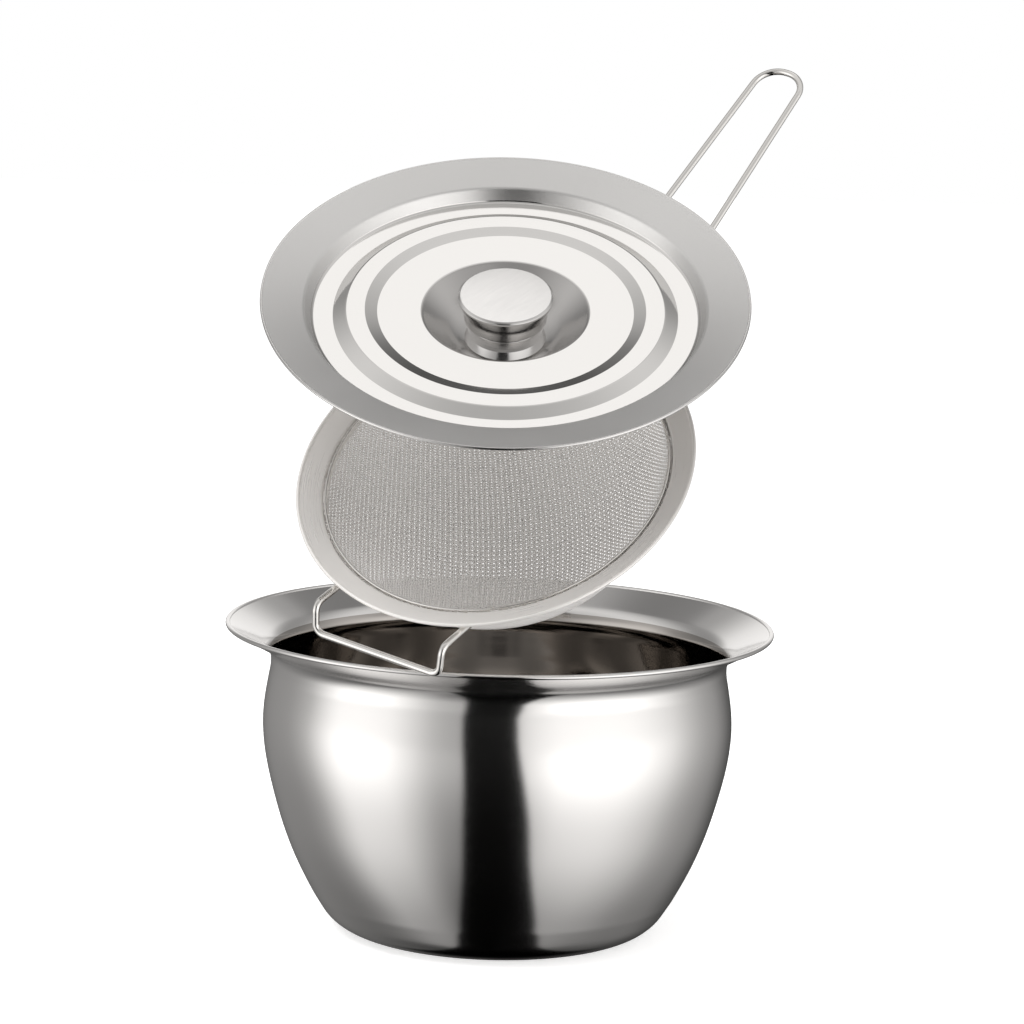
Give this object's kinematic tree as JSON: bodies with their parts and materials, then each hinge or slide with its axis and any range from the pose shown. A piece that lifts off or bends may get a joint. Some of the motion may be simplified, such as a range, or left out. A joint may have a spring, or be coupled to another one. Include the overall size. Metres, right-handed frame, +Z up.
{
  "type": "bacon grease container",
  "caption": "Round-bellied steel grease pot with a flared lip, a wire-handled gauze strainer that hooks over the lip, and a pressed lid with a knob.",
  "frame": {"origin": "centre of the pot's base, on the surface that it stands on", "axes": "+Z up through the pot's mouth; -Y is the side that the strainer's hook and the lowered edge of the lid face; the handle points to +X and +Y"},
  "size_m": [0.2067, 0.2301, 0.3152],
  "materials": {
    "steel_satin": "satin",
    "steel_polished": "polished",
    "steel_gauze": "satin",
    "steel_wire": "polished"
  },
  "bodies": {
    "pot": {"pot_body": "steel_satin"},
    "strainer": {"strainer_rim": "steel_satin", "strainer_mesh": "steel_gauze", "strainer_clamp_ring": "steel_satin", "strainer_handle": "steel_wire", "strainer_hook": "steel_wire"},
    "lid": {"lid_pan": "steel_polished", "knob_collar": "steel_polished", "knob_cap": "steel_satin", "knob_washer": "steel_polished", "knob_screw": "steel_polished"}
  },
  "joints": [
    {"name": "strainer_lift", "type": "hinge", "parent": "pot", "child": "strainer", "pos_m": [-0.05135, -0.10346, 0.08418], "axis": [0.9495, -0.2297, -0.2139], "range_deg": [-43.55, 0]},
    {"name": "lid_lift", "type": "hinge", "parent": "strainer", "child": "lid", "pos_m": [0.14985, 0.01277, 0.18472], "axis": [-0.4351, 0.8878, -0.1499], "range_deg": [-18.05, 0]}
  ]
}
